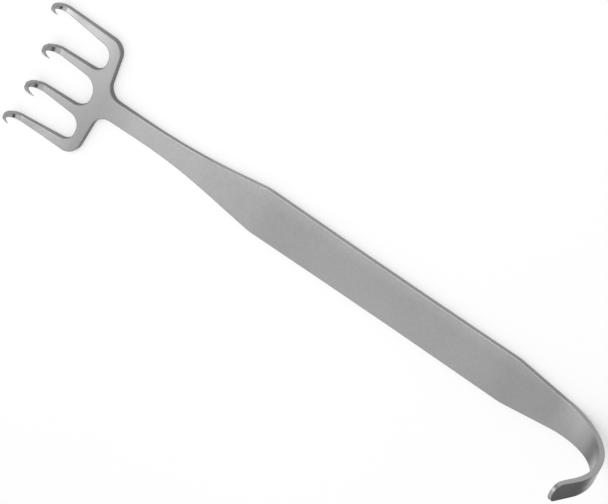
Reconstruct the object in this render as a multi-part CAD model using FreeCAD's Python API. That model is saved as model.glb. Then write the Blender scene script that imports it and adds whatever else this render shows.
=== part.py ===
import FreeCAD, Part
import math
import os

# Handheld surgical retractor, double ended, one piece of satin stainless steel.
# X runs along the handle towards the blade, Y across it, and Z up, away from
# the flat back that it lies on. The origin is on the back, at mid handle.
# All sizes are in millimetres and all angles in degrees.

# Handle, with slightly hollow long edges
handle_length = 69.1        # between the corners where it starts to narrow
handle_width = 11.4         # at both ends
handle_thickness = 1.4
waist_depth = 0.15          # how far each long edge is hollow at mid handle
waist_share = 0.9           # of the handle's length that the hollow takes up
handle_corner_round = 15.0  # soft corner between the long edges and the tapers

# Neck, between the handle and the rake. One side is left slightly fuller.
neck_length = 42.8
neck_width = 4.95
neck_thickness = 1.3        # where it is thinnest
neck_thinnest_share = 0.65  # of the neck's length, from the handle
neck_flare_angle = 9.0      # slope of its +Y side where it leaves the handle
fuller_flare_angle = 8.0    # the same on its -Y side
neck_flare_round = 150.0    # eases these slopes into the straight neck
neck_to_rake_round = 3.4

# Rake: a cross bar that carries two outer and two inner prongs
rake_width = 29.7
rake_thickness = 1.75
rake_bar_depth = 3.5        # from the neck to the bottoms of the slots
rake_back_sweep = 5.5       # lean of the back edge towards the hooks
rake_corner_round = 3.6

# Prongs, from the slots between them to where the hooks start
slot_roundness = 0.98       # of the half width of the slot; 1 is a half circle
inner_prong_spacing = 9.85  # between the middles of the two inner prongs
outer_prong_splay = 0.6     # lean of the outer prongs' outer sides, away from the rest
prong_taper_length = 11.8   # over which the widths and the thickness fall to the end values
prong_root_width = 2.65
prong_end_width = 1.5
prong_end_thickness = 1.35

# Hooks: each prong curls up and back, and tapers to a sharp point. They are bent
# one at a time, so each has its own sizes, listed from the +Y hook to the -Y one.
prong_lengths = [13.5, 10.5, 10.5, 12.3]    # from the slot bottoms to the hooks
hook_radii = [2.6, 3.2, 3.2, 3.1]           # of the middle line
hook_turns = [178.0, 179.0, 186.0, 165.0]
hook_point = 0.12           # thickness of the sharpened point
hook_fullness = 2.0         # the higher, the later the hook tapers
hook_sections = 6

# Blade: the strip narrows, bends up and ends in a tab with a round end. It is bent
# by hand, so it twists slightly and the tab leans a little to one side.
taper_length = 13.3         # from the handle to the bend
bend_start_width = 8.0
bend_radius = 19.0          # of the back face, outside the bend
opening_bend_radius = 25.0  # the last part of the bend opens out to this radius
opening_turn = 66.0         # how far the strip has turned up where that part starts
bend_turn = 100.2
bend_sections = 9
blade_twist = -4.0          # turn about its own middle line, by the end of the bend
narrowing_length = 28.3     # over which the strip narrows on from the bend's start
narrowing_ease = 1.4        # 1 narrows evenly, more eases into the tab's sides
blade_width = 4.55          # at the end of the bend
tab_end_width = 4.95        # the tab widens towards its round end
tab_lean = 0.3              # how far its end leans to the +Y side
tab_end_roundness = 0.94    # of half that width; 1 is nearly a half circle
tab_end_thickness = 1.0     # the tab is thinned towards its end, from the inside
tab_length = 8.5            # from the bend to the end of the tab

edge_break = 0.3            # small chamfer on every long edge
blade_edge_break = 0.15     # the same on the tab, which is ground finer
overlap = 1.0               # how far the cutting shapes reach past what they cut
tolerance = 1e-4            # for telling places apart

# Places along X
handle_end_x = handle_length / 2
bend_start_x = handle_end_x + taper_length
rake_back_x = -handle_end_x - neck_length
slot_bottom_x = rake_back_x - rake_bar_depth
prong_end_x = slot_bottom_x - prong_taper_length
hook_start_xs = [slot_bottom_x - length for length in prong_lengths]
beyond_hooks_x = min(hook_start_xs) - overlap


# Flat shapes
def point(x, y, z=0.0):
    return FreeCAD.Vector(x, y, z)


def rounded_face(corners):
    """Face in the XY plane through corners (x, y, radius), each turned by an arc."""
    stops = []
    edges = []
    for i, (x, y, radius) in enumerate(corners):
        corner = point(x, y)
        back = (point(*corners[i - 1][:2]) - corner).normalize()
        ahead = (point(*corners[(i + 1) % len(corners)][:2]) - corner).normalize()
        half_turn = (math.pi - back.getAngle(ahead)) / 2
        reach = radius * math.tan(half_turn)
        stops.append((corner + back * reach, corner + ahead * reach))
        if radius:
            inwards = (back + ahead).normalize()
            middle = corner + inwards * (radius / math.cos(half_turn) - radius)
            edges.append(Part.Arc(stops[i][0], middle, stops[i][1]).toShape())
    for i in range(len(corners)):
        start, end = stops[i - 1][1], stops[i][0]
        if start.distanceToPoint(end) > tolerance:
            edges.append(Part.makeLine(start, end))
    return Part.Face(Part.Wire(Part.__sortEdges__(edges)))


def both_sides(upper, lower):
    """Corners of the +Y side, followed by those of the -Y side, given as if on +Y."""
    return upper + [(x, -y, radius) for x, y, radius in reversed(lower)]


# Outline of all that lies flat
rake_sweep_slope = math.tan(math.radians(rake_back_sweep))
rake_corner_x = rake_back_x - rake_sweep_slope * rake_width / 2


def outer_side(x):
    """Y of the +Y prong's outer side at this X."""
    return rake_width / 2 + (rake_corner_x - x) * math.tan(math.radians(outer_prong_splay))


def long_side(flare_angle):
    """Corners along one long side, from beyond the hooks to the blade's bend."""
    side = handle_width / 2
    neck = neck_width / 2
    flare_length = (side - neck) / math.tan(math.radians(flare_angle))
    waist_slope = 2 * waist_depth / handle_end_x
    return [
        (beyond_hooks_x, outer_side(beyond_hooks_x), 0),
        (rake_corner_x, rake_width / 2, rake_corner_round),
        (rake_back_x - rake_sweep_slope * neck, neck, neck_to_rake_round),
        (-handle_end_x - flare_length, neck, neck_flare_round),
        (-handle_end_x, side, handle_corner_round),
        (0, side - 2 * waist_depth, waist_share * handle_end_x / waist_slope),
        (handle_end_x, side, handle_corner_round),
        (bend_start_x, bend_start_width / 2, 0),
    ]


def filled_outline():
    """Handle, neck and rake, with the slots still filled and the prongs too long."""
    return rounded_face(both_sides(long_side(neck_flare_angle),
                                   long_side(fuller_flare_angle)))


def prong_sides(x):
    """Lower and upper Y of each prong at this X, from the +Y prong to the -Y one."""
    share = (x - slot_bottom_x) / (prong_end_x - slot_bottom_x)
    width = prong_root_width + (prong_end_width - prong_root_width) * share
    outer = (outer_side(x) - width, outer_side(x))
    inner = (inner_prong_spacing / 2 - width / 2, inner_prong_spacing / 2 + width / 2)
    return [outer, inner, (-inner[1], -inner[0]), (-outer[1], -outer[0])]


def slots():
    """The three slots between the prongs, open towards the hooks."""
    at_bottom = prong_sides(slot_bottom_x)
    at_mouth = prong_sides(beyond_hooks_x)
    faces = []
    for i in range(3):
        bottom_high, bottom_low = at_bottom[i][0], at_bottom[i + 1][1]
        mouth_high, mouth_low = at_mouth[i][0], at_mouth[i + 1][1]
        bottom_round = slot_roundness * (bottom_high - bottom_low) / 2
        faces.append(rounded_face([
            (beyond_hooks_x, mouth_high, 0),
            (slot_bottom_x, bottom_high, bottom_round),
            (slot_bottom_x, bottom_low, bottom_round),
            (beyond_hooks_x, mouth_low, 0),
        ]))
    return faces


def room_for_hooks():
    """One rectangle for each prong, over the length that becomes its hook."""
    faces = []
    for (low, high), start_x in zip(prong_sides(beyond_hooks_x), hook_start_xs):
        low -= overlap
        high += overlap
        faces.append(rounded_face([
            (beyond_hooks_x, low, 0), (beyond_hooks_x, high, 0),
            (start_x, high, 0), (start_x, low, 0),
        ]))
    return faces


# Thickness of all that lies flat
def side_profile():
    """The strip from the side: a flat back, and a face that follows its thickness."""
    below = -rake_thickness
    blade_end = point(bend_start_x, 0, handle_thickness)
    stations = [point(prong_end_x, 0, prong_end_thickness),
                point(slot_bottom_x, 0, rake_thickness),
                point(-handle_end_x - neck_thinnest_share * neck_length, 0, neck_thickness),
                point(-handle_end_x, 0, handle_thickness)]
    face_line = Part.BSplineCurve()
    face_line.interpolate(Points=stations, InitialTangent=point(1, 0), FinalTangent=point(1, 0))
    around = [stations[-1], blade_end, point(bend_start_x, 0, below),
              point(beyond_hooks_x, 0, below), point(beyond_hooks_x, 0, prong_end_thickness),
              stations[0]]
    return Part.Face(Part.Wire([face_line.toShape()] + Part.makePolygon(around).Edges))


def long_edges(solid, end_places):
    """Edges of the upright walls along the outline, leaving out the cut ends."""
    chosen = []
    for wall in solid.Faces:
        first_u, last_u, first_v, last_v = wall.ParameterRange
        normal = wall.normalAt((first_u + last_u) / 2, (first_v + last_v) / 2)
        at_end = min(abs(wall.CenterOfMass.x - x) for x in end_places) < tolerance
        if abs(normal.z) > tolerance or (at_end and abs(normal.x) > 1 - tolerance):
            continue
        for edge in wall.Edges:
            box = edge.BoundBox
            if max(box.XLength, box.YLength) > tolerance:
                chosen.append(edge)
    return chosen


def flat_part():
    """Handle, neck, cross bar and prongs, up to the hooks and to the bend."""
    outline = filled_outline()
    for gap in slots() + room_for_hooks():
        outline = outline.cut(gap)
    standing = outline.extrude(point(0, 0, 2 * rake_thickness))
    lying = side_profile().extrude(point(0, 2 * rake_width, 0))
    lying.translate(point(0, -rake_width, 0))
    plate = standing.common(lying)
    edges = long_edges(plate, hook_start_xs + [bend_start_x])
    return plate.makeChamfer(edge_break, edges).Solids[0]


# Curved pieces are lofted from the cut face of what they grow out of
def section(width, thickness, corner_cut):
    """Rectangle with cut corners, with its width along Y and its thickness along Z."""
    half_y = width / 2
    half_z = thickness / 2
    quarter = [(half_y, half_z - corner_cut), (half_y - corner_cut, half_z)]
    upper = quarter + [(-y, z) for y, z in reversed(quarter)]
    around = upper + [(-y, -z) for y, z in upper]
    return Part.makePolygon([point(0, y, z) for y, z in around + around[:1]])


def cut_wire(solid, x, y):
    """Outer wire of the solid's cut end at this X and Y."""
    for face in solid.Faces:
        centre = face.CenterOfMass
        if abs(centre.x - x) < tolerance and abs(centre.y - y) < prong_end_width / 2:
            if abs(face.normalAt(0, 0).x) > 1 - tolerance:
                return face.OuterWire
    raise ValueError("no cut end here")


def hook(plate, middle_y, start_x, radius, turn):
    """One hook, from the end of its prong around the bend to its point."""
    start = cut_wire(plate, start_x, middle_y)
    root_width = start.BoundBox.YLength
    root_thickness = start.BoundBox.ZLength
    middle_z = root_thickness / 2
    wires = [start]
    for step in range(1, hook_sections):
        share = step / (hook_sections - 1)
        size = 1 - share ** hook_fullness
        width = hook_point + (root_width - hook_point) * size
        thickness = hook_point + (root_thickness - hook_point) * size
        wire = section(width, thickness, edge_break * thickness / root_thickness)
        wire.translate(point(start_x, middle_y, middle_z))
        wire.rotate(point(start_x, middle_y, middle_z + radius), point(0, 1), turn * share)
        wires.append(wire)
    return Part.makeLoft(wires, True, False)


def bent(shape, turn):
    """Carry a shape from the bend's start to where the strip has turned up this far,
    and twist it on the way."""
    middle = point(bend_start_x, 0, handle_thickness / 2)
    shape.rotate(middle, point(1, 0), blade_twist * (turn / bend_turn) ** 2)
    opening = max(0.0, turn - opening_turn)
    shape.rotate(point(bend_start_x, 0, opening_bend_radius), point(0, 1), -opening)
    shape.rotate(point(bend_start_x, 0, bend_radius), point(0, 1), opening - turn)
    return shape


def bend(plate):
    """The blade's bend, narrowing along the way."""
    wires = [cut_wire(plate, bend_start_x, 0)]
    for step in range(1, bend_sections):
        turn = bend_turn * step / (bend_sections - 1)
        opening = max(0.0, turn - opening_turn)
        length = (math.radians(turn - opening) * bend_radius
                  + math.radians(opening) * opening_bend_radius)
        left = max(0.0, 1 - length / narrowing_length)
        width = blade_width + (bend_start_width - blade_width) * left ** narrowing_ease
        corner_cut = edge_break + (blade_edge_break - edge_break) * turn / bend_turn
        wire = section(width, handle_thickness, corner_cut)
        wire.translate(point(bend_start_x, 0, handle_thickness / 2))
        wires.append(bent(wire, turn))
    return Part.makeLoft(wires, True, False)


def tab():
    """The straight end of the blade, which widens and gets thinner to its round end."""
    start_side = blade_width / 2
    end_side = tab_end_width / 2
    end_round = tab_end_roundness * end_side
    outline = rounded_face([
        (0, start_side, 0), (0, -start_side, 0),
        (tab_length, tab_lean - end_side, end_round),
        (tab_length, tab_lean + end_side, end_round),
    ])
    inside = [point(0, 0, handle_thickness), point(tab_length / 2, 0, handle_thickness),
              point(tab_length, 0, tab_end_thickness)]
    inside_line = Part.BezierCurve()
    inside_line.setPoles(inside)
    around = Part.makePolygon([inside[2], point(tab_length, 0), point(0, 0), inside[0]])
    lying = Part.Face(Part.Wire([inside_line.toShape()] + around.Edges))
    lying = lying.extrude(point(0, 2 * tab_end_width, 0))
    lying.translate(point(0, -tab_end_width, 0))
    plate = outline.extrude(point(0, 0, handle_thickness)).common(lying)
    plate = plate.makeChamfer(blade_edge_break, long_edges(plate, [0])).Solids[0]
    plate.translate(point(bend_start_x, 0))
    return bent(plate, bend_turn)


flat = flat_part()
pieces = [bend(flat), tab()]
for row, start_x in enumerate(hook_start_xs):
    low, high = prong_sides(start_x)[row]
    pieces.append(hook(flat, (low + high) / 2, start_x, hook_radii[row], hook_turns[row]))
retractor = flat.fuse(pieces)

os.makedirs("parts", exist_ok=True)
retractor.exportStep("parts/retractor.step")
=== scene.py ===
import bmesh
import bpy
import math
from mathutils import Matrix, Vector


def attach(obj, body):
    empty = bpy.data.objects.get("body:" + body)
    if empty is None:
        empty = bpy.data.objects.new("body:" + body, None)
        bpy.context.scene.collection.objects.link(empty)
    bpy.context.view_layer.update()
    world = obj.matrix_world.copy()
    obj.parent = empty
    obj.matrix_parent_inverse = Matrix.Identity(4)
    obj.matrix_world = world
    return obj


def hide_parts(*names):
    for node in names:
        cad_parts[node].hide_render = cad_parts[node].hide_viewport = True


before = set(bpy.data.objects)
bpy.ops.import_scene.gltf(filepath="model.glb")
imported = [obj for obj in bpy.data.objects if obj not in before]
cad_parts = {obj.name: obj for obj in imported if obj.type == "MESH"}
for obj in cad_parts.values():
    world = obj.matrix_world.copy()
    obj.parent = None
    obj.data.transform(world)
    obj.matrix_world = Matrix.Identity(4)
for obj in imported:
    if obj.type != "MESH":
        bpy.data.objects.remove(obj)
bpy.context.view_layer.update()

# The camera looks down on the retractor from the side of the blade, from a few
# metres away with a long lens, so that the strip hardly narrows towards its far
# end. All lengths in this file are in metres.
bpy.context.scene.view_settings.view_transform = "Standard"
camera_place = Vector((1.26719, 1.9486, 3.7656))
camera_back = Vector((0.290688, 0.440244, 0.849521)).normalized()
camera_up = Vector((-0.538896, 0.808977, -0.234834)).normalized()
camera_right = camera_up.cross(camera_back)

bpy.ops.object.select_all(action="DESELECT")
bpy.ops.object.camera_add()
camera = bpy.context.object
camera.name = "camera"
camera.data.sensor_width = 36.0
camera.data.lens = 1200.0
camera.data.clip_start = 0.01
camera.data.clip_end = 100.0
camera.matrix_world = Matrix((
    (camera_right.x, camera_up.x, camera_back.x, camera_place.x),
    (camera_right.y, camera_up.y, camera_back.y, camera_place.y),
    (camera_right.z, camera_up.z, camera_back.z, camera_place.z),
    (0.0, 0.0, 0.0, 1.0),
))
bpy.context.scene.camera = camera

# The retractor is one strip of stainless steel. It is stamped flat, its prongs and
# its blade are bent up by hand, and all its edges are rounded over on a soft wheel.
same_corner = 0.000001         # corners nearer to each other than this are one corner
bpy.ops.object.select_all(action="DESELECT")
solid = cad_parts["retractor"]
bpy.context.view_layer.objects.active = solid
solid.select_set(True)
bpy.ops.object.duplicate()
retractor = bpy.context.object
retractor.name = "rounded_retractor"
retractor.parent = None
for mark in list(retractor.keys()):
    del retractor[mark]
bpy.ops.object.mode_set(mode="EDIT")
bpy.ops.mesh.select_all(action="SELECT")
bpy.ops.mesh.remove_doubles(threshold=same_corner)
bpy.ops.object.mode_set(mode="OBJECT")

# In the solid its long edges are flat chamfers. Here they become round. The sharp
# turns part its skin into strips: wide ones, and the narrow chamfers between them.
sharp_turn = math.radians(32)
widest_chamfer = 0.0006
narrowest_chamfer = 0.0002
round_steps = 4
circle_share = 0.5523          # makes the Bezier curve over a chamfer nearly a circle
shape = bmesh.new()
shape.from_mesh(retractor.data)
strip_of = {}
for first in shape.faces:
    if first in strip_of:
        continue
    strip = [first]
    strip_of[first] = strip
    for face in strip:
        for edge in face.edges:
            if edge.calc_face_angle() < sharp_turn:
                for beyond in edge.link_faces:
                    if beyond not in strip_of:
                        strip_of[beyond] = strip
                        strip.append(beyond)
chamfers = []
wide_faces = set()
for strip in {id(strip): strip for strip in strip_of.values()}.values():
    area = sum(face.calc_area() for face in strip)
    rim = sum(edge.calc_length() for face in strip for edge in face.edges
              if any(strip_of[beyond] is not strip for beyond in edge.link_faces))
    strip_width = 2 * area / rim
    if strip_width > widest_chamfer:
        wide_faces.update(strip)
    elif strip_width > narrowest_chamfer:
        chamfers += strip

# Each corner beside a chamfer belongs to one wide strip and faces the way it does.
side_of = {}
normal_of = {}
for corner in shape.verts:
    beside = [face for face in corner.link_faces if face in wide_faces]
    if beside:
        side_of[corner] = id(strip_of[beside[0]])
        weighed = (face.normal * face.calc_area() for face in beside)
        normal_of[corner] = sum(weighed, Vector()).normalized()
ways = {}


def round_way(start, end):
    """Corners of the new mesh on the round way across a chamfer, both ends included."""
    if (start, end) not in ways:
        across = end.co - start.co
        leaving = start.co + circle_share * (across - across.project(normal_of[start]))
        arriving = end.co - circle_share * (across - across.project(normal_of[end]))
        way = [start]
        for step in range(1, round_steps):
            share = step / round_steps
            rest = 1 - share
            between = shape.verts.new(rest ** 3 * start.co + 3 * rest ** 2 * share * leaving
                                      + 3 * rest * share ** 2 * arriving + share ** 3 * end.co)
            normal_of[between] = (rest * normal_of[start] + share * normal_of[end]).normalized()
            way.append(between)
        ways[start, end] = way + [end]
        ways[end, start] = ways[start, end][::-1]
    return ways[start, end]


# A chamfer's triangles have one corner on one side of it and two on the other.
new_faces = []
old_faces = []
for face in chamfers:
    around = list(face.verts)
    sides = [side_of.get(corner) for corner in around]
    alone = [k for k in range(3) if sides.count(sides[k]) == 1]
    if None in sides or len(alone) != 1:
        continue
    tip, left, right = (around[(alone[0] + k) % 3] for k in range(3))
    to_left, to_right = round_way(tip, left), round_way(tip, right)
    new_faces.append([tip, to_left[1], to_right[1]])
    for k in range(1, round_steps):
        new_faces.append([to_left[k], to_left[k + 1], to_right[k + 1], to_right[k]])
    old_faces.append(face)
swelled = set(old_faces)
for face in shape.faces:
    around = []
    for loop in face.loops:
        way = ways.get((loop.vert, loop.link_loop_next.vert), [loop.vert, None])
        around += way[:-1]
    if face not in swelled and len(around) > len(face.verts):
        new_faces.append(around)
        old_faces.append(face)
bmesh.ops.delete(shape, geom=old_faces, context="FACES")
for corners in new_faces:
    shape.faces.new(corners)
shape.normal_update()
corner_normals = [normal_of.get(corner, corner.normal).copy() for corner in shape.verts]
shape.to_mesh(retractor.data)
shape.free()
bpy.ops.object.shade_smooth()
retractor.data.normals_split_custom_set_from_vertices(corner_normals)

# Satin finish: an even grey with a fine blasted grain and faint clouds. Painted into the colour
# are reflection and shade along the strip, which make the hooks and the neck the brightest,
# painted highlights on the outer prongs and on the +Y side of the handle and of the bend, and
# painted shade on the bend's -Y side. The hooks are smoother.
steel = bpy.data.materials.new("satin_steel")
steel.use_nodes = True
nodes = steel.node_tree.nodes
links = steel.node_tree.links
shader = nodes["Principled BSDF"]
shader.inputs["Metallic"].default_value = 1.0
on_steel = nodes.new("ShaderNodeTexCoord").outputs["Object"]
along = nodes.new("ShaderNodeSeparateXYZ")
links.new(on_steel, along.inputs["Vector"])


def ranged(value, low, high, least, most, ends="LINEAR"):
    """A value from low to high turned into least to most, and held outside of them."""
    tree = value.id_data
    node = tree.nodes.new("ShaderNodeMapRange")
    node.interpolation_type = ends
    for name, number in (("From Min", low), ("From Max", high),
                         ("To Min", least), ("To Max", most)):
        node.inputs[name].default_value = number
    tree.links.new(value, node.inputs["Value"])
    return node.outputs["Result"]


def combined(operation, *values):
    """The outcome of one sum with values of the material and plain numbers."""
    tree = values[0].id_data
    node = tree.nodes.new("ShaderNodeMath")
    node.operation = operation
    for socket, value in zip(node.inputs, values):
        if isinstance(value, float):
            socket.default_value = value
        else:
            tree.links.new(value, socket)
    return node.outputs["Value"]


def spots(scale, detail):
    """Random light and dark spots, this many to the metre."""
    node = nodes.new("ShaderNodeTexNoise")
    node.inputs["Scale"].default_value = scale
    node.inputs["Detail"].default_value = detail
    links.new(on_steel, node.inputs["Vector"])
    return node.outputs["Fac"]


ramp_start, ramp_end = -0.1, 0.1
length_share = ranged(along.outputs["X"], ramp_start, ramp_end, 0.0, 1.0)


def by_place(stops):
    """A tone that changes softly along the steel: each stop is a place and its tone."""
    node = nodes.new("ShaderNodeValToRGB")
    ramp = node.color_ramp
    ramp.interpolation = "EASE"
    for place, tone in stops:
        stop = ramp.elements.new((place - ramp_start) / (ramp_end - ramp_start))
        stop.color = (tone, tone, tone, 1.0)
    ramp.elements.remove(ramp.elements[0])
    ramp.elements.remove(ramp.elements[-1])
    links.new(length_share, node.inputs["Fac"])
    return node.outputs["Color"]


# Painted reflection and shade: a tone along the strip that stands in for how brightly each part
# mirrors the light.
painted_light_along = by_place((
    (-0.095, 0.62), (-0.0905, 0.53), (-0.0865, 0.50), (-0.082, 0.445), (-0.0775, 0.425),
    (-0.073, 0.49), (-0.068, 0.565), (-0.059, 0.595), (-0.047, 0.57), (-0.038, 0.54),
    (-0.031, 0.485), (0.027, 0.475), (0.0365, 0.435), (0.0455, 0.43), (0.051, 0.49),
    (0.056, 0.48)))

# Painted highlight: the +Y side of the handle, past the neck, is made lighter in colour.
past_neck = ranged(along.outputs["X"], -0.07, -0.06, 0.0, 1.0, "SMOOTHSTEP")
handle_highlight_gain = 0.12
handle_side_highlight = ranged(along.outputs["Y"], 0.0022, 0.0056, 0.0, handle_highlight_gain, "SMOOTHSTEP")
painted_light_gain = combined("MULTIPLY_ADD", past_neck, handle_side_highlight, 1.0)

# Painted highlight: the outer prongs are made lighter in colour along their middle.
along_prongs = by_place(((-0.0915, 0.0), (-0.0875, 1.0), (-0.083, 1.0), (-0.079, 0.0)))
from_middle = combined("ABSOLUTE", along.outputs["Y"])
prong_highlight_gain = 0.2
outer_prong_highlight = ranged(from_middle, 0.0075, 0.0105, 0.0, prong_highlight_gain, "SMOOTHSTEP")
painted_light_gain = combined("MULTIPLY_ADD", along_prongs, outer_prong_highlight, painted_light_gain)

# Painted shade on the bend's -Y side and a painted highlight on its +Y side.
past_taper = ranged(along.outputs["X"], 0.046, 0.053, 0.0, 1.0, "SMOOTHSTEP")
bend_painted_shade, bend_painted_highlight = -0.12, 0.16
bend_shade_and_highlight = ranged(along.outputs["Y"], -0.0035, 0.0035, bend_painted_shade, bend_painted_highlight)
painted_light_gain = combined("MULTIPLY_ADD", past_taper, bend_shade_and_highlight, painted_light_gain)

darkest_spot, lightest_spot = 0.3, 0.7
grain = spots(scale=1900.0, detail=3.0)
clouds = spots(scale=70.0, detail=2.0)
fine_tone = ranged(grain, darkest_spot, lightest_spot, 0.95, 1.05)
wide_tone = ranged(clouds, darkest_spot, lightest_spot, 0.97, 1.03)
# Colour: the painted light along and across the strip, times the grain and the clouds.
tone = combined("MULTIPLY", combined("MULTIPLY", painted_light_along, painted_light_gain),
                combined("MULTIPLY", fine_tone, wide_tone))
links.new(tone, shader.inputs["Base Color"])

satin = ranged(grain, darkest_spot, lightest_spot, 0.31, 0.39)
hook_polish = ranged(along.outputs["X"], -0.0945, -0.0905, -0.11, 0.0)
links.new(combined("ADD", satin, hook_polish), shader.inputs["Roughness"])
pits = nodes.new("ShaderNodeBump")
pits.inputs["Strength"].default_value = 0.3
pits.inputs["Distance"].default_value = 0.000004
links.new(grain, pits.inputs["Height"])
links.new(pits.outputs["Normal"], shader.inputs["Normal"])
retractor.data.materials.clear()
retractor.data.materials.append(steel)
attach(retractor, "root")
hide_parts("retractor")

# Floor: a plain white table top just under the steel. It keeps the retractor's soft
# shadow.
floor_height = -0.00005
floor_glow = 0.4
bpy.ops.object.select_all(action="DESELECT")
bpy.ops.mesh.primitive_plane_add(size=60.0, location=(0.0, 0.0, floor_height))
floor = bpy.context.object
floor.name = "floor"
white = bpy.data.materials.new("white_table")
white.use_nodes = True
nodes = white.node_tree.nodes
links = white.node_tree.links
shader = nodes["Principled BSDF"]
shader.inputs["Base Color"].default_value = (0.8, 0.8, 0.8, 1.0)
shader.inputs["Roughness"].default_value = 0.9
shader.inputs["Specular IOR Level"].default_value = 0.0
shader.inputs["Emission Color"].default_value = (1.0, 1.0, 1.0, 1.0)
ray = nodes.new("ShaderNodeLightPath")
seen = combined("MAXIMUM", ray.outputs["Is Camera Ray"], ray.outputs["Is Glossy Ray"])
seen = combined("MAXIMUM", seen, ray.outputs["Is Transmission Ray"])
links.new(combined("MULTIPLY", seen, floor_glow), shader.inputs["Emission Strength"])
floor.data.materials.append(white)

# Light: a pale tent with a darker +Y side, a large soft lamp overhead, and two small
# soft ones that brighten the prongs and the blade's bend.
tent_tone, dark_side_tone = 0.72, 0.4
world = bpy.data.worlds.new("tent")
bpy.context.scene.world = world
world.use_nodes = True
nodes = world.node_tree.nodes
links = world.node_tree.links
background = nodes["Background"]
direction = nodes.new("ShaderNodeTexCoord")
parts = nodes.new("ShaderNodeSeparateXYZ")
links.new(direction.outputs["Generated"], parts.inputs["Vector"])
fade = ranged(parts.outputs["Y"], 0.1, 0.7, tent_tone, dark_side_tone, "SMOOTHSTEP")
links.new(fade, background.inputs["Color"])
background.inputs["Strength"].default_value = 1.0

for name, place, aim, size, energy in (
        ("overhead_lamp", (-0.15, 0.2, 0.6), (0.0, 0.0, 0.0), 0.36, 0.5),
        ("rake_lamp", (-0.112, -0.022, 0.08), (-0.0845, 0.0195, 0.0), 0.04, 0.0032),
        ("bend_lamp", (-0.03, -0.045, 0.055), (0.05, 0.004, 0.002), 0.02, 0.0004)):
    bpy.ops.object.select_all(action="DESELECT")
    bpy.ops.object.light_add(type="AREA", location=place)
    lamp = bpy.context.object
    lamp.name = name
    lamp.data.shape = "ELLIPSE"
    lamp.data.size = size
    lamp.data.size_y = size
    lamp.data.energy = energy
    lamp.visible_camera = False
    lamp.rotation_euler = (Vector(place) - Vector(aim)).to_track_quat("Z", "Y").to_euler()

# Plain cards of a photographer: grey ones lie under the retractor, a dark one lies
# beyond the blade, and a black one stands there. Only the steel mirrors them.
card_height = -0.00002
for name, tone, place, width, depth, lean in (
        ("rake_card", 0.65, (-0.2, 0.0, card_height), 0.3, 0.5, 0.0),
        ("far_card", 0.85, (0.15, 0.125, card_height), 0.4, 0.25, 0.0),
        ("near_card", 0.3, (-0.001, -0.125, card_height), 0.098, 0.25, 0.0),
        ("low_black_card", 0.2, (0.112, -0.032, 0.0003), 0.08, 0.075, 0.0),
        ("standing_black_card", 0.02, (0.25, -0.16, 0.1), 0.2, 0.28, math.radians(90))):
    bpy.ops.object.select_all(action="DESELECT")
    bpy.ops.mesh.primitive_plane_add(size=1.0, location=place, rotation=(0.0, lean, 0.0))
    card = bpy.context.object
    card.name = name
    card.scale = (width, depth, 1.0)
    paper = bpy.data.materials.new(name)
    paper.use_nodes = True
    shader = paper.node_tree.nodes["Principled BSDF"]
    shader.inputs["Base Color"].default_value = (tone, tone, tone, 1.0)
    shader.inputs["Roughness"].default_value = 1.0
    card.data.materials.append(paper)
    card.visible_camera = False
    card.visible_diffuse = False
    card.visible_transmission = False
    card.visible_shadow = False
